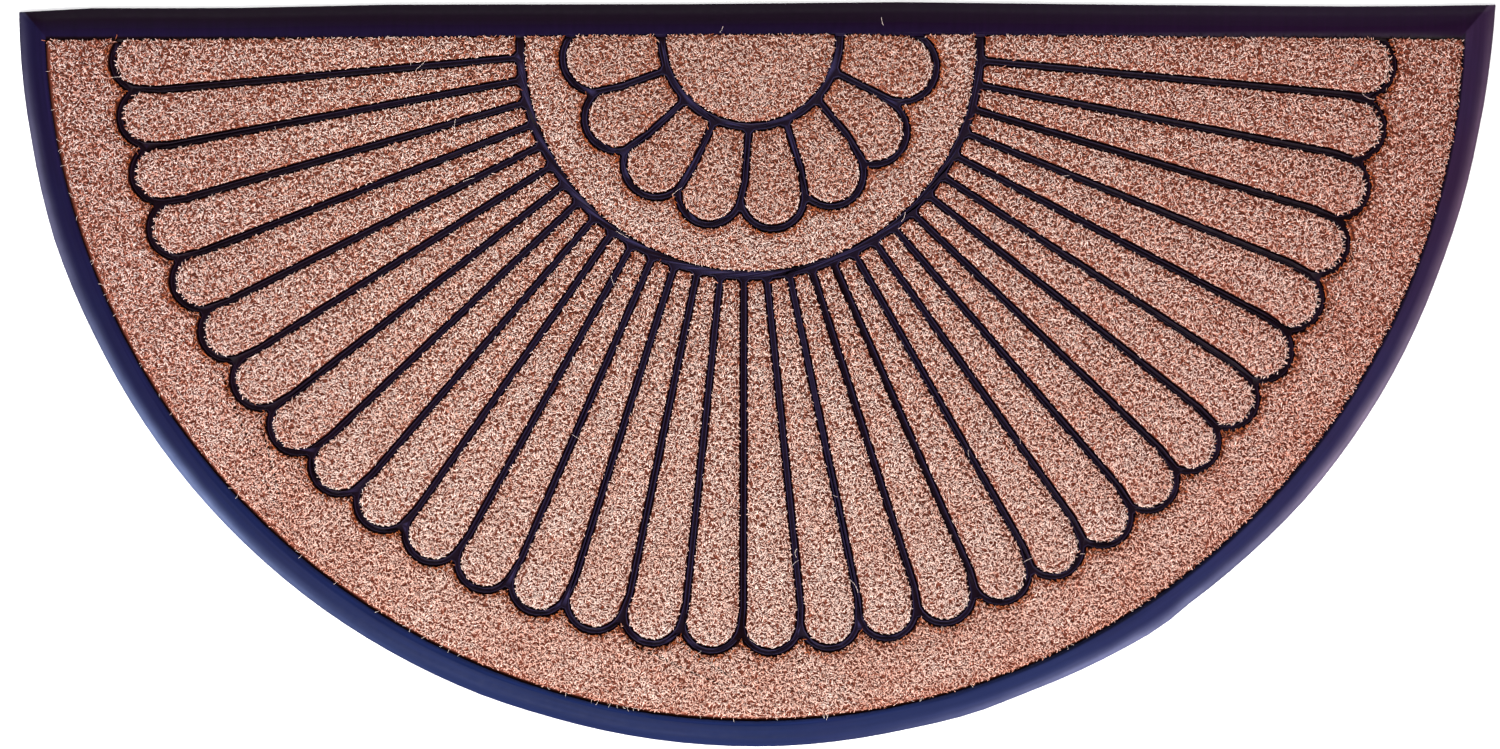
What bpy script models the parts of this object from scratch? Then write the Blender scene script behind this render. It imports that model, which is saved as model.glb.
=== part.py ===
"""Half-round coir doormat: one moulded rubber tray with panels of brush coir set in its pockets.

Metres, +Z up. The straight edge runs along X at the back (+Y) and the round edge faces -Y.
The origin is at the middle of the underside. The fan opens from a hub on the straight edge, and its
angles are counted clockwise from +X, seen from above: 0 is along the straight edge to the right,
90 points at the middle of the round edge, and 180 is along the straight edge to the left.
"""

from collections import namedtuple
from math import cos, pi, radians, sin, sqrt

import bmesh
import bpy
from mathutils import Vector

Circle = namedtuple("Circle", "x y radius")
Line = namedtuple("Line", "point along")
Step = namedtuple("Step", "inward upward")
Edge = namedtuple("Edge", "angle outward")
Back = namedtuple("Back", "x rubber coir")
Spread = namedtuple("Spread", "angle near far")
Lobe = namedtuple("Lobe", "angle tip lean radius")

# Overall shape: a little more than half a disc, 1.22 m wide
ROUND_EDGE = Circle(-0.0031, 0.2988, 0.6068)
ROUND_END_ANGLES = (-0.62, 180.05)
RUBBER_BACK_Y = 0.3060
ROUND_EDGE_STEP = 2.0
BACK_EDGE_STEP = 0.060

# How far the trimmed round edge strays from its circle
ROUND_EDGE_DRIFT = (
    Edge(-0.6, 0.0063),
    Edge(1.5, 0.0046),
    Edge(4.0, 0.0029),
    Edge(9.5, 0.0001),
    Edge(20.5, -0.0017),
    Edge(30.0, -0.0001),
    Edge(41.0, 0.0009),
    Edge(48.0, -0.0002),
    Edge(53.5, -0.0003),
    Edge(56.5, 0.0023),
    Edge(60.0, 0.0009),
    Edge(68.5, -0.0016),
    Edge(72.5, -0.0002),
    Edge(78.0, -0.0015),
    Edge(87.0, -0.0005),
    Edge(106.5, -0.0012),
    Edge(112.0, 0.0000),
    Edge(127.0, 0.0009),
    Edge(140.0, 0.0007),
    Edge(153.0, -0.0005),
    Edge(162.0, 0.0005),
    Edge(170.0, -0.0011),
    Edge(180.0, 0.0000),
)

# How far the straight edge of the rubber, and of the coir inside it, stray from their lines
BACK_DRIFT = (
    Back(-0.610, -0.0064, -0.0050),
    Back(-0.585, -0.0034, -0.0049),
    Back(-0.440, -0.0034, -0.0044),
    Back(-0.300, -0.0004, -0.0026),
    Back(-0.050, 0.0000, -0.0004),
    Back(0.115, 0.0017, 0.0000),
    Back(0.310, -0.0006, -0.0024),
    Back(0.510, -0.0021, -0.0038),
    Back(0.611, -0.0007, -0.0048),
)

# Heights above the floor
BACKING = 0.0030
BORDER_LIP = 0.0026
BORDER_SLOPE = (Step(0.0070, 0.0050), Step(0.0100, 0.0030))
RIB_TOP = 0.0094
PILE_TOP = 0.0140

# Gap all round between coir and rubber
GAP = 0.0003

# The opening inside the border
COIR_BACK_Y = 0.2814
COIR_ROUND = Circle(-0.0025, 0.2999, 0.5862)
RIB_DIP_INSET = 0.0020

# The point that all the ribs spread from
HUB = Vector((-0.0027, 0.2779))

# The fan of rays: its inner ring, and the round lobes along its outer edge
RAY_COUNT = 32
RAY_RING = Circle(-0.0057, 0.2714, 0.1900)
RAY_TIPS = Circle(-0.0033, 0.2995, 0.5292)
RAY_IN_REACH = 0.2163
RAY_OUT_REACH = 0.4987

# How far the ray ribs stray from an even spread, in degrees, at their inner and outer reach
RAY_SPREAD = (
    Spread(0.0, -0.42, -0.30),
    Spread(30.0, 2.08, 0.45),
    Spread(60.0, 2.80, 0.10),
    Spread(90.0, 2.20, 1.02),
    Spread(125.0, 2.25, 1.81),
    Spread(150.0, 1.30, 1.59),
    Spread(180.0, 0.65, 0.41),
)

# The round ends of the rays: how far they stray from their row, outward at the tip and sideways
# clockwise, and their radius
RAY_LOBES = (
    Lobe(2.8, 0.0016, -0.0014, 0.0262),
    Lobe(8.4, 0.0006, 0.0022, 0.0262),
    Lobe(18.0, -0.0012, 0.0018, 0.0262),
    Lobe(30.0, -0.0003, 0.0026, 0.0250),
    Lobe(45.0, 0.0009, 0.0032, 0.0242),
    Lobe(60.0, 0.0017, 0.0030, 0.0239),
    Lobe(75.0, 0.0003, 0.0031, 0.0239),
    Lobe(90.0, -0.0002, 0.0017, 0.0239),
    Lobe(105.0, -0.0012, 0.0023, 0.0239),
    Lobe(120.0, -0.0006, 0.0012, 0.0238),
    Lobe(137.0, 0.0014, 0.0013, 0.0238),
    Lobe(150.0, 0.0005, 0.0016, 0.0238),
    Lobe(160.0, 0.0015, 0.0016, 0.0238),
    Lobe(170.0, 0.0006, 0.0023, 0.0238),
    Lobe(180.0, 0.0013, 0.0038, 0.0236),
)

# The petals: the ring round the centre, and the round lobes along their outer edge
PETAL_COUNT = 8
CENTRE_RING = Circle(-0.0054, 0.2780, 0.0737)
PETAL_TIPS = Circle(-0.0047, 0.2770, 0.1569)
PETAL_IN_REACH = 0.0780
PETAL_OUT_REACH = 0.1280

# How far the petals' ribs and round ends stray, in the same terms as the rays'
PETAL_SPREAD = (
    Spread(22.5, 0.75, 2.05),
    Spread(45.0, -0.40, 1.70),
    Spread(67.5, 1.95, 2.95),
    Spread(90.0, 3.30, 3.60),
    Spread(112.5, 2.90, 2.75),
    Spread(135.0, 2.85, 2.65),
    Spread(157.5, 2.30, 2.40),
)
PETAL_LOBES = (
    Lobe(11.25, -0.0018, -0.0010, 0.0290),
    Lobe(33.75, -0.0030, 0.0053, 0.0277),
    Lobe(56.25, -0.0008, 0.0043, 0.0273),
    Lobe(78.75, 0.0010, 0.0030, 0.0264),
    Lobe(101.25, 0.0011, 0.0035, 0.0260),
    Lobe(123.75, 0.0002, 0.0028, 0.0270),
    Lobe(146.25, -0.0011, 0.0017, 0.0271),
    Lobe(168.75, -0.0001, 0.0050, 0.0279),
)

# Rubber ribs: half their width, and how they bend clockwise as they run in between two round ends
RIB_HALF = 0.0030
RING_HALF = 0.0037
BEND_REACH = 0.0120
BEND_DEGREES = 8.0

# Corners of the coir panels, and of the webs between lobes
HEEL_ROUNDING = 0.0022
RAY_WEB = 0.0032
PETAL_WEB = 0.0012
MOST_OF_SIDE_CUT = 0.45

# Straight pieces in each curve
END_PIECES = 12
PETAL_HEEL_PIECES = 2
COIR_ROUND_PIECES = 64
BAND_ROUND_PIECES = 28
CENTRE_ROUND_PIECES = 18

RUBBER_COLOUR = (0.018, 0.016, 0.040, 1.0)
RUBBER_ROUGHNESS = 0.5
COIR_COLOUR = (0.56, 0.36, 0.28, 1.0)
COIR_ROUGHNESS = 0.95


def clear_scene():
    for thing in list(bpy.data.objects):
        bpy.data.objects.remove(thing, do_unlink=True)


def new_collection(name):
    collection = bpy.data.collections.new(name)
    bpy.context.scene.collection.children.link(collection)
    return collection


def plain_material(name, colour, roughness):
    material = bpy.data.materials.new(name)
    material.use_nodes = True
    shader = material.node_tree.nodes["Principled BSDF"]
    shader.inputs["Base Color"].default_value = colour
    shader.inputs["Roughness"].default_value = roughness
    shader.inputs["Metallic"].default_value = 0.0
    material.diffuse_color = colour
    return material


def toward(degrees):
    """The direction of a spoke at this clockwise angle."""
    return Vector((cos(radians(degrees)), -sin(radians(degrees))))


def clockwise_of(direction):
    return Vector((direction.y, -direction.x))


def read_table(table, column, place, value):
    """Reads a short table at a place between its rows."""
    if place <= getattr(table[0], column):
        return getattr(table[0], value)
    for low, high in zip(table, table[1:]):
        start, end = getattr(low, column), getattr(high, column)
        if place <= end:
            share = (place - start) / (end - start)
            return getattr(low, value) * (1.0 - share) + getattr(high, value) * share
    return getattr(table[-1], value)


def back_of_coir(x, gap=0.0):
    """The point of the coir's straight back edge at x."""
    return Vector((x, COIR_BACK_Y + read_table(BACK_DRIFT, "x", x, "coir") - gap))


def back_spoke(near_x, far_x):
    """The stretch of the back edge that stands in for a rib beside the first or last lobe."""
    near, far = back_of_coir(near_x), back_of_coir(far_x)
    return Line(near, (far - near).normalized())


def centre_of(circle):
    return Vector((circle.x, circle.y))


def grown(circle, extra):
    return Circle(circle.x, circle.y, circle.radius + extra)


def shifted(line, clockwise):
    """The same line moved sideways, clockwise round the hub."""
    return Line(line.point + clockwise_of(line.along) * clockwise, line.along)


def far_crossing(line, circle):
    """Where a spoke leaves a circle, or the nearest point on the circle if the spoke passes it by."""
    centre = centre_of(circle)
    foot = line.point + line.along * (centre - line.point).dot(line.along)
    miss = (foot - centre).length
    if miss >= circle.radius:
        return centre + (foot - centre).normalized() * circle.radius
    return foot + line.along * sqrt(circle.radius**2 - miss**2)


def outer_meeting(first, second, away_from):
    """Where two overlapping circles cross, on the side away from a point."""
    between = centre_of(second) - centre_of(first)
    spacing = between.length
    reach = (spacing**2 + first.radius**2 - second.radius**2) / (2.0 * spacing)
    rise = sqrt(first.radius**2 - reach**2)
    along = between.normalized()
    side = clockwise_of(along) * rise
    crossings = [centre_of(first) + along * reach + side, centre_of(first) + along * reach - side]
    return max(crossings, key=lambda point: (point - away_from).length)


def clockwise_angle(direction):
    return Vector((1.0, 0.0)).angle_signed(direction)


def arc(circle, start, end, pieces):
    """Points round a circle, clockwise from start to end."""
    centre = centre_of(circle)
    first = clockwise_angle(start - centre)
    sweep = (clockwise_angle(end - centre) - first) % (2.0 * pi)
    angles = [first + sweep * index / pieces for index in range(pieces + 1)]
    return [centre + Vector((cos(angle), -sin(angle))) * circle.radius for angle in angles]


def blunted(points, corner, reach):
    """Cuts one corner off an outline, at this distance along both of its sides."""
    index = min(range(len(points)), key=lambda number: (points[number] - corner).length)
    here = points[index]
    before, after = points[index - 1], points[(index + 1) % len(points)]
    cuts = []
    for side in (before - here, after - here):
        cuts.append(here + side.normalized() * min(reach, MOST_OF_SIDE_CUT * side.length))
    return points[:index] + cuts + points[index + 1 :]


def rib_line(even, spread, in_reach, out_reach):
    """The centre line of a rib whose even place is this angle."""
    near = HUB + toward(even + read_table(spread, "angle", even, "near")) * in_reach
    far = HUB + toward(even + read_table(spread, "angle", even, "far")) * out_reach
    return Line(near, (far - near).normalized())


def ray_spoke(number):
    """The centre line of a rib in the fan; the first and last lie along the border."""
    if number in (0, RAY_COUNT):
        side = 1.0 if number == 0 else -1.0
        return back_spoke(side * RAY_RING.radius, side * RAY_OUT_REACH)
    return rib_line(180.0 * number / RAY_COUNT, RAY_SPREAD, RAY_IN_REACH, RAY_OUT_REACH)


def petal_spoke(number):
    """The centre line of a rib between two petals; the first and last lie along the border."""
    if number in (0, PETAL_COUNT):
        side = 1.0 if number == 0 else -1.0
        return back_spoke(side * CENTRE_RING.radius, side * PETAL_TIPS.radius)
    return rib_line(180.0 * number / PETAL_COUNT, PETAL_SPREAD, PETAL_IN_REACH, PETAL_OUT_REACH)


def half_width(number, count):
    """Half a rib's width; the border's own line has none."""
    return 0.0 if number in (0, count) else RIB_HALF


def bent_end(line, circle):
    """The last stretch of a rib's side, which turns clockwise as it runs in between two round ends."""
    foot = line.point + line.along * (centre_of(circle) - line.point).dot(line.along)
    turn = radians(BEND_DEGREES)
    along = line.along * cos(turn) + clockwise_of(line.along) * sin(turn)
    return Line(foot - line.along * BEND_REACH, along)


def end_circle(low, high, tips, radius, lean):
    """The circle that rounds off a lobe: it touches the circle of tips near midway between two spokes."""
    track = grown(tips, -radius)
    low_point = far_crossing(low, track)
    high_point = far_crossing(high, track)
    middle = ((low_point + high_point) / 2.0 - centre_of(tips)).normalized()
    sideways = (high_point - low_point).normalized()
    centre = centre_of(tips) + middle * track.radius + sideways * lean
    return Circle(centre.x, centre.y, radius)


def row_of_ends(count, spoke, tips, lobes):
    """The circles that round off a row of lobes."""
    ends = []
    for number in range(count):
        even = 180.0 * (number + 0.5) / count
        tip, lean, radius = (read_table(lobes, "angle", even, value) for value in Lobe._fields[1:])
        ends.append(end_circle(spoke(number), spoke(number + 1), grown(tips, tip), radius, lean))
    return ends


def ray_ends():
    return row_of_ends(RAY_COUNT, ray_spoke, RAY_TIPS, RAY_LOBES)


def petal_ends():
    return row_of_ends(PETAL_COUNT, petal_spoke, PETAL_TIPS, PETAL_LOBES)


def back_crossing(circle, side, gap):
    """Where a circle crosses the coir's back edge, on the right (side 1) or the left (side -1)."""
    back = back_of_coir(circle.x + side * circle.radius, gap)
    reach = sqrt(circle.radius**2 - (back.y - circle.y) ** 2)
    return Vector((circle.x + side * reach, back.y))


def lobe_outline(number, count, spoke, ends, ring, gap):
    """One coir lobe: out along a rib, round the end, back along the next rib and across the ring."""
    low = shifted(spoke(number), half_width(number, count) + gap)
    high = shifted(spoke(number + 1), -half_width(number + 1, count) - gap)
    end = grown(ends[number], -RIB_HALF - gap)
    heel = grown(ring, RING_HALF + gap)
    low_heel = far_crossing(low, heel)
    high_heel = far_crossing(high, heel)
    before, after = [], []
    if number > 0:
        low = bent_end(low, end)
        before = [low.point]
    if number + 1 < count:
        high = bent_end(high, end)
        after = [high.point]
    points = before + arc(end, far_crossing(low, end), far_crossing(high, end), END_PIECES) + after
    if count == PETAL_COUNT:
        points += reversed(arc(heel, low_heel, high_heel, PETAL_HEEL_PIECES))
    else:
        points += [high_heel, low_heel]
    for corner in (low_heel, high_heel):
        points = blunted(points, corner, HEEL_ROUNDING)
    return points


def scallops(ends, web, gap):
    """The line round the outside of a row of lobes, from the right of the hub to the left."""
    swollen = [grown(end, RIB_HALF + gap) for end in ends]
    joints = [outer_meeting(low, high, HUB) for low, high in zip(swollen, swollen[1:])]
    stops = [back_crossing(swollen[0], 1, gap)] + joints + [back_crossing(swollen[-1], -1, gap)]
    points = [stops[0]]
    for circle, start, end in zip(swollen, stops, stops[1:]):
        points += arc(circle, start, end, END_PIECES)[1:]
    for joint in joints:
        points = blunted(points, joint, web)
    return points


def cap_points(circle, gap, pieces):
    """The part of a circle in front of the coir's back edge, from right to left."""
    inside = grown(circle, -gap)
    return arc(inside, back_crossing(inside, 1, gap), back_crossing(inside, -1, gap), pieces)


def back_points(left, right, gap):
    """Points along the coir's back edge between two corners, from left to right."""
    pieces = round((right.x - left.x) / BACK_EDGE_STEP)
    return [
        back_of_coir(left.x + (right.x - left.x) * index / pieces, gap) for index in range(1, pieces)
    ]


def scalloped_field(outer, pieces, ends, web, gap):
    """A coir field with a round outside and a scalloped inside."""
    return cap_points(outer, gap, pieces) + list(reversed(scallops(ends, web, gap)))


def field_outlines(gap):
    """Every coir field's name and outline, this far clear of the rubber."""
    rays = ray_ends()
    petals = petal_ends()
    ring_inside = grown(RAY_RING, -RING_HALF)
    centre_inside = grown(CENTRE_RING, -RING_HALF)
    fields = {"coir_outer": scalloped_field(COIR_ROUND, COIR_ROUND_PIECES, rays, RAY_WEB, gap)}
    for number in range(RAY_COUNT):
        outline = lobe_outline(number, RAY_COUNT, ray_spoke, rays, RAY_RING, gap)
        fields[f"coir_ray_{number + 1:02d}"] = outline
    fields["coir_band"] = scalloped_field(ring_inside, BAND_ROUND_PIECES, petals, PETAL_WEB, gap)
    for number in range(PETAL_COUNT):
        outline = lobe_outline(number, PETAL_COUNT, petal_spoke, petals, CENTRE_RING, gap)
        fields[f"coir_petal_{number + 1}"] = outline
    fields["coir_centre"] = cap_points(centre_inside, gap, CENTRE_ROUND_PIECES)
    return fields


def mat_outline():
    """The trimmed outside edge of the rubber, round the curve and back along the straight edge."""
    first, last = ROUND_END_ANGLES
    pieces = round((last - first) / ROUND_EDGE_STEP)
    points = []
    for index in range(pieces + 1):
        angle = first + (last - first) * index / pieces
        reach = ROUND_EDGE.radius + read_table(ROUND_EDGE_DRIFT, "angle", angle, "outward")
        points.append(centre_of(ROUND_EDGE) + toward(angle) * reach)
    left, right = points[-1].x, points[0].x
    pieces = round((right - left) / BACK_EDGE_STEP)
    for index in range(1, pieces):
        x = left + (right - left) * index / pieces
        points.append(Vector((x, RUBBER_BACK_Y + read_table(BACK_DRIFT, "x", x, "rubber"))))
    return points


def add_raised(shape, outline, base, steps):
    """Adds a closed solid to shape: the outline lies at base, and each step moves its top in and up."""
    floor = shape.faces.new([shape.verts.new((point.x, point.y, base)) for point in outline])
    floor.normal_update()
    if floor.normal.z > 0.0:
        floor.normal_flip()
    lifted = bmesh.ops.extrude_face_region(shape, geom=[floor], use_keep_orig=True)["geom"]
    top = next(item for item in lifted if isinstance(item, bmesh.types.BMFace))
    bmesh.ops.translate(shape, vec=(0.0, 0.0, steps[0].upward), verts=top.verts[:])
    top.normal_flip()
    top.normal_update()
    for step in steps[1:]:
        bmesh.ops.inset_region(
            shape,
            faces=[top],
            thickness=step.inward,
            depth=step.upward,
            use_even_offset=True,
        )


def new_solid(name, collection, material, build):
    shape = bmesh.new()
    build(shape)
    bmesh.ops.recalc_face_normals(shape, faces=shape.faces[:])
    mesh = bpy.data.meshes.new(name)
    shape.to_mesh(mesh)
    shape.free()
    if material:
        mesh.materials.append(material)
    solid = bpy.data.objects.new(name, mesh)
    collection.objects.link(solid)
    return solid


def new_cutter(name, collection, build):
    cutter = new_solid(name, collection, None, build)
    cutter.display_type = "WIRE"
    cutter.hide_render = True
    return cutter


def cut(solid, cutter):
    modifier = solid.modifiers.new(cutter.name, "BOOLEAN")
    modifier.operation = "DIFFERENCE"
    modifier.solver = "EXACT"
    modifier.object = cutter


def build_rubber_tray(collection, cutters):
    """The moulding: a sloped block, dipped to the rib tops inside the border, then cut into pockets."""
    rubber = plain_material("rubber", RUBBER_COLOUR, RUBBER_ROUGHNESS)
    border_steps = (Step(0.0, BORDER_LIP),) + BORDER_SLOPE
    above_all = Step(0.0, PILE_TOP)

    def dip(shape):
        outline = cap_points(COIR_ROUND, RIB_DIP_INSET, COIR_ROUND_PIECES)
        outline += back_points(outline[-1], outline[0], RIB_DIP_INSET)
        add_raised(shape, outline, RIB_TOP, [above_all])

    def pockets(shape):
        for outline in field_outlines(0.0).values():
            add_raised(shape, outline, BACKING, [above_all])

    tray = new_solid(
        "rubber_tray",
        collection,
        rubber,
        lambda shape: add_raised(shape, mat_outline(), 0.0, border_steps),
    )
    cut(tray, new_cutter("dip_cutter", cutters, dip))
    cut(tray, new_cutter("pocket_cutter", cutters, pockets))


def build_coir_fields(collection):
    """One slab of coir for each pocket, standing on the backing and proud of the ribs."""
    coir = plain_material("coir", COIR_COLOUR, COIR_ROUGHNESS)
    base = BACKING + GAP
    for name, outline in field_outlines(GAP).items():
        steps = [Step(0.0, PILE_TOP - base)]
        new_solid(name, collection, coir, lambda shape: add_raised(shape, outline, base, steps))


clear_scene()
mat_parts = new_collection("half_round_coir_doormat")
mat_cutters = new_collection("cutters")
mat_cutters.hide_render = True
build_rubber_tray(mat_parts, mat_cutters)
build_coir_fields(mat_parts)
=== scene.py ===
"""Looks of the half-round coir doormat: moulded rubber with painted navy sheen, and brush coir as real
bristles.

Metres, +Z up. The straight edge runs along X at the back (+Y), and the round edge faces -Y.
"""

import math
from collections import namedtuple

import bmesh
import bpy
import numpy as np
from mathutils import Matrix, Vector
from mathutils import noise as smooth_noise
from mathutils.bvhtree import BVHTree


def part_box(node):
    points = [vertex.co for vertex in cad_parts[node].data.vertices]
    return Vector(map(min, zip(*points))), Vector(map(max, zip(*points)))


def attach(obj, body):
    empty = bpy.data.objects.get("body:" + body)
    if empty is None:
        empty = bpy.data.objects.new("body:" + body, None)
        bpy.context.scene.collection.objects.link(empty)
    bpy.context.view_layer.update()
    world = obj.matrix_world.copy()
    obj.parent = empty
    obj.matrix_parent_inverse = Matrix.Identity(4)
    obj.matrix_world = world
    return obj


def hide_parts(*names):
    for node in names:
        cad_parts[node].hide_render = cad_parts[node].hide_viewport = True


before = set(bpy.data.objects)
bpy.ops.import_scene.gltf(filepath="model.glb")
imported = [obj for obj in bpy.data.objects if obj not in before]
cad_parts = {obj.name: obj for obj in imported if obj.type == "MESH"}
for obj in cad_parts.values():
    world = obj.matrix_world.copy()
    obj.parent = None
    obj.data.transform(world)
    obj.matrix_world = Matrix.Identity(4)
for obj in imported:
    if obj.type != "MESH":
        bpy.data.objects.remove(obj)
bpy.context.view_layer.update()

BODY = "root"

Stop = namedtuple("Stop", "place colour")
Clouds = namedtuple("Clouds", "scale detail rough low high least most")
Lamp = namedtuple("Lamp", "name place aim width height watts colour")
Ridge = namedtuple("Ridge", "inward height navy")
Edge = namedtuple("Edge", "room reach drop push tone rust overhang")
SlopeHighlight = namedtuple("SlopeHighlight", "colour middle spread strength")
Stray = namedtuple("Stray", "x y heading length bend")

# The camera looks straight down from far off and fills the frame with the mat
FRAME_WIDTH_PX = 1500
METRES_PER_PX = 0.0008257
CAMERA_HEIGHT = 8.0
FOCUS_LEVEL = 0.0060
CAMERA_SENSOR = 36.0
VIEW_CENTRE = Vector((-0.0060, 0.0000))

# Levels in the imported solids, and how near to one a point has to be to count as on it
LIP_TOP = 0.0026
SLOPE_CREASE = 0.0076
BORDER_TOP = 0.0106
RIB_TOP = 0.0094
SLAB_TOP = 0.0140
LEVEL_MATCH = 0.00005

# A bristle's root is looked for straight down from here, and its nearest wall at this height
DOWN = Vector((0.0, 0.0, -1.0))
RAY_START = SLAB_TOP + 0.010
WALL_PROBE = SLAB_TOP - 0.002

# The round border's circle (its middle, and the radius of the inner edge), the Y of the straight
# border's inner edge, and the fan's hub
BORDER_CENTRE = Vector((-0.0031, 0.2988))
BORDER_INSIDE = 0.5845
BACK_INSIDE = 0.2790
HUB = Vector((-0.0027, 0.2779))

# How far a face's normal points up: more than FLAT if it is level, less than UPRIGHT on a wall
FLAT = 0.99
UPRIGHT = 0.1

# The border's creases are rounded, and its slope is a little uneven: each wave's length and depth,
# and how far it is sunk. Sliver faces that the solids' cutting left on the slope are joined first.
CREASE_ROUNDING = 0.0026
LIP_ROUNDING = 0.0002
ROUNDING_SEGMENTS = 3
EDGE_CUTS = 3
WAVES = ((0.014, 0.00016), (0.045, 0.00030))
WAVE_SINK = 0.4
WAVE_BACK_MARGIN = 0.004
SLIVER_DEGREES = 0.3
SHARP_DEGREES = 22.0
WELD_DISTANCE = 0.00001

# A rib's two rounded ridges: how far in each step lies, its height, and how far its colour goes from
# black to navy, a painted highlight along the ridges. A web is a top face whose middle lies farther
# than WEB_REACH from any wall, and is painted full navy sheen.
RIB_EDGE_HEIGHT = 0.0084
RIB_STEPS = (
    Ridge(0.0009, 0.0091, 0.0),
    Ridge(0.0005, 0.0094, 0.55),
    Ridge(0.0003, 0.0093, 0.55),
    Ridge(0.0004, 0.0089, 0.1),
)
WEB_REACH = 0.0028

# The dense layer at the bristles' roots: its height inside and at its edge, and how wide the slope
# between them is. The rise says how far up a bristle a point lies, and below 0 it is darker still:
# the dark at the roots and on the pad is painted shade.
PAD_TOP = 0.0098
PAD_EDGE = 0.0064
PAD_SLOPE = 0.0013
PAD_SLOPE_OUTER = 0.0040
PAD_TONE = 0.25
PAD_RISE = -0.30
EDGE_RISE = -0.50

# The bristles: their size, how far they lean (least, most common, most), and their tone from dark
# to cream. Its spread, and the share of much darker bristles, grow from the front to the back.
# Taller bristles than usual are paler, by the rise tone for the full height: painted light on the tops
# that catch it.
BRISTLE_TOP = 0.0139
BRISTLES_PER_M2 = 508_000
ROOT_JITTER = 0.46
BRISTLE_LENGTH = (0.0034, 0.0064)
BRISTLE_WIDTH = (0.00055, 0.00095)
TIP_WIDTH_SHARE = 0.42
BRISTLE_SINK = 0.0008
LEAN_DEGREES = (12.0, 46.0, 72.0)
TONE = 0.70
TONE_SPREAD = (0.04, 0.46)
DARK_SHARE = (0.03, 0.19)
FRONT_TO_BACK = (-0.15, 0.25)
DARK_DROP = (0.22, 0.55)
PANEL_TONE = {
    "coir_outer": -0.03,
    "coir_ray": 0.09,
    "coir_band": 0.24,
    "coir_petal": 0.15,
    "coir_centre": 0.24,
}
RISE_LIGHT_TONE = 0.18
USUAL_RISE = 0.75
SEED = 20

# Rust brown in the bristles: the spread over all of them, the share of each kind of panel, and near
# the walls (this many edge reaches in) a mottled share: steady, cloudy, least and speckled. Near the
# walls it is partly the coir's colour and partly painted shade.
RUST_SPREAD = 0.05
PANEL_RUST = {"coir_ray": 0.08, "coir_band": 0.16, "coir_petal": 0.26, "coir_centre": 0.27}
RUST_MOTTLE = (0.7, 0.3, 0.2, 0.8)
RUST_REACH = 1.6

# How much farther the pile reaches over the walls for each metre from the middle of the mat: over
# walls that face an end, and over each kind of wall to the left and to the right. Where it reaches
# farther, the roots stand nearer to the wall, but never nearer than LEAST_ROOM, and lean out more.
OUTWARD_SHIFT = 0.0024
LEFT_SHIFT = {"tip": 0.0022, "scallop": 0.0010, "border": -0.0024}
RIGHT_SHIFT = {"tip": 0.0036, "scallop": 0.0050, "border": 0.0038}
SHIFT_ROOM = 0.8
SHIFT_PUSH = 300.0
LEAST_ROOM = 0.0003

# Light and dark patches in the coir: how wide they are and how far the tone moves. They come from
# tables of random numbers, this many each way, read from this place on.
PATCHES = ((0.024, 0.080), (0.009, 0.050), (0.0030, 0.060))
PATCH_TABLE = 61
PATCH_START = 1000.0

# The pile beside each kind of wall: clear room, how far in the edge shows, how low its outermost
# bristles lie, how hard they lean out, their change of tone and of rust, and how far the tips hang
# over the wall (least, most common, most). A darker tone by a wall is painted shade, and the paler
# tone at the round tips is painted light.
EDGES = {
    "border": Edge(0.0026, 0.0075, 0.0020, 0.40, -0.26, 0.30, (-0.0044, -0.0034, -0.0004)),
    "scallop": Edge(0.0006, 0.0036, 0.0016, 0.10, -0.08, 3.00, (-0.0014, -0.0008, 0.0006)),
    "tip": Edge(0.0008, 0.0024, 0.0006, 0.20, 0.08, 0.00, (-0.0014, -0.0009, 0.0002)),
    "side": Edge(0.0007, 0.0040, 0.0012, 0.35, -0.05, 0.50, (-0.0015, -0.0007, 0.0011)),
    "heel": Edge(0.0007, 0.0070, 0.0024, 0.15, -0.24, 1.30, (-0.0010, -0.0003, 0.0010)),
    "ring": Edge(0.0006, 0.0045, 0.0020, 0.35, -0.14, 0.35, (-0.0008, -0.0001, 0.0012)),
    "back": Edge(0.0007, 0.0055, 0.0018, 0.30, -0.16, 0.60, (-0.0009, 0.0000, 0.0012)),
}

# The pale fibres that lie along the inside of each round end, a painted highlight where the ends
# catch the light: how far in they lie, how often, how long and wide they are, how high they lie, how
# far they turn off the wall's line, and their tone and its spread
RIM_PLACE = (0.0010, 0.0021)
RIM_PITCH = 0.00210
RIM_LENGTH = (0.0016, 0.0034)
RIM_WIDTH = 0.00042
RIM_HEIGHT = (0.0130, 0.0138)
RIM_TURN_DEGREES = 14.0
RIM_HIGHLIGHT_TONE = (0.91, 0.10)

# Which way a wall faces, as a share of straight out from the hub (or of straight back, for the
# names with BACK), tells what kind of wall it is. Only bristles in the strip along the straight
# edge stand beside a back wall, and walls that face back more than RIM_MOST_BACK have no rim.
TIP_FACING = 0.3
HEEL_FACING = -0.6
OUTER_FACING = 0.5
BACK_FACING = 0.95
RIM_MOST_BACK = 0.6
BACK_STRIP = 0.02

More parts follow.
